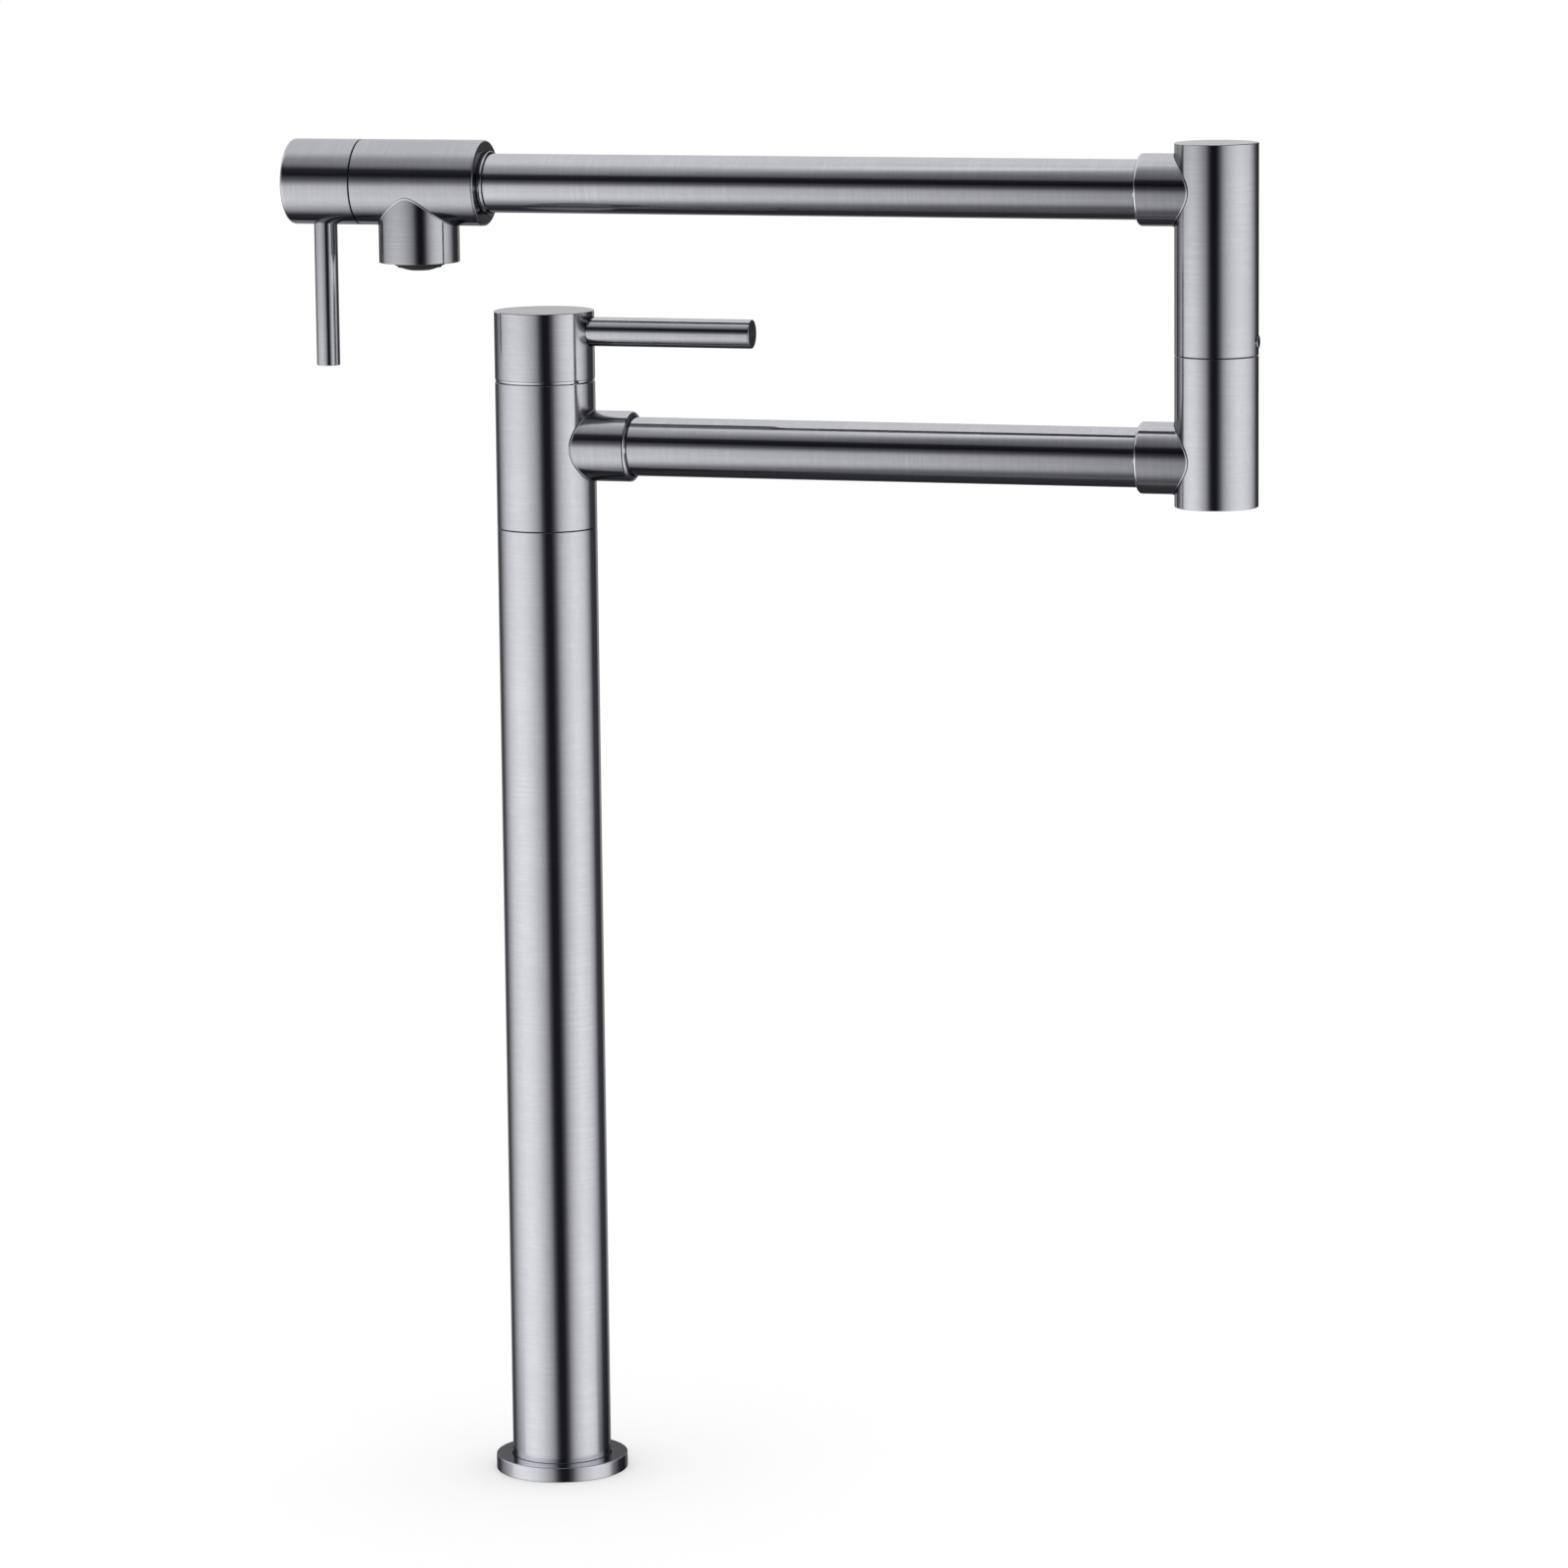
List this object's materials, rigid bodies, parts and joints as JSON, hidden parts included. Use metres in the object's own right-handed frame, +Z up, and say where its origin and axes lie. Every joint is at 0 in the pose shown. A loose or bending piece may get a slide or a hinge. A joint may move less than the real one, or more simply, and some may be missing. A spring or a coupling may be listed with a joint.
{
  "type": "deck mounted pot filler",
  "caption": "Tall deck mounted tap for filling pots: a column with a quarter turn valve on top and jointed folding arms that end in an outlet valve and spout.",
  "frame": {"origin": "centre of the flange's underside, on the deck, on the column's axis", "axes": "+Z up the column, +X along the folded arms towards the elbow, -Y to the front"},
  "size_m": [0.376, 0.051, 0.5158],
  "materials": {
    "brushed_steel": "brushed round each cylinder",
    "polished_steel": "polished",
    "turned_brass": "turned",
    "seal_rubber": "matte",
    "slip_plastic": "satin",
    "disc_ceramic": "lapped"
  },
  "bodies": {
    "column": {"base_flange": "brushed_steel", "base_gasket": "seal_rubber", "base_insert": "turned_brass", "riser_tube": "brushed_steel", "supply_tube": "polished_steel", "swivel_core": "turned_brass", "core_o_ring_lower": "seal_rubber", "core_o_ring_upper": "seal_rubber", "swivel_thrust_washer": "slip_plastic", "swivel_retaining_nut": "turned_brass", "main_cartridge_seal": "seal_rubber", "main_cartridge_housing": "turned_brass", "main_fixed_disc": "disc_ceramic", "main_bonnet_nut": "turned_brass"},
    "main_handle": {"main_handle_cap": "brushed_steel", "main_lever": "brushed_steel", "main_handle_screw": "polished_steel", "main_stem_adaptor": "turned_brass", "main_stem": "turned_brass", "main_moving_disc": "disc_ceramic"},
    "lower_arm": {"swivel_body": "brushed_steel", "swivel_top_ring": "polished_steel", "lower_inner_collar": "brushed_steel", "lower_arm_tube": "brushed_steel", "lower_outer_collar": "brushed_steel", "lower_elbow_post": "brushed_steel", "elbow_spindle": "turned_brass", "elbow_o_ring_lower": "seal_rubber", "elbow_o_ring_upper": "seal_rubber", "elbow_thrust_washer": "slip_plastic"},
    "upper_arm": {"upper_elbow_post": "brushed_steel", "elbow_lock_screw": "polished_steel", "upper_elbow_collar": "brushed_steel", "upper_arm_tube": "brushed_steel", "outlet_tube_ring": "polished_steel", "outlet_body": "brushed_steel", "spout_nozzle": "brushed_steel", "aerator_washer": "seal_rubber", "aerator_housing": "slip_plastic", "aerator_screen": "slip_plastic", "outlet_cartridge_seal": "seal_rubber", "outlet_cartridge_housing": "turned_brass", "outlet_fixed_disc": "disc_ceramic", "outlet_bonnet_nut": "turned_brass"},
    "outlet_handle": {"outlet_handle_cap": "brushed_steel", "outlet_lever": "brushed_steel", "outlet_handle_screw": "polished_steel", "outlet_stem_adaptor": "turned_brass", "outlet_stem": "turned_brass", "outlet_moving_disc": "disc_ceramic"}
  },
  "joints": [
    {"name": "arm_swing", "type": "hinge", "parent": "column", "child": "lower_arm", "pos_m": [0, 0, 0.3994], "axis": [0, 0, 1], "continuous": true},
    {"name": "elbow_swing", "type": "hinge", "parent": "lower_arm", "child": "upper_arm", "pos_m": [0.2604, 0, 0.4983], "axis": [0, 0, 1], "continuous": true},
    {"name": "main_handle_turn", "type": "hinge", "parent": "column", "child": "main_handle", "pos_m": [0, 0, 0.4427], "axis": [0, 0, 1], "range_deg": [0, 90]},
    {"name": "outlet_handle_turn", "type": "hinge", "parent": "upper_arm", "child": "outlet_handle", "pos_m": [-0.0872, 0, 0.4983], "axis": [-1, 0, 0], "range_deg": [0, 90]}
  ]
}
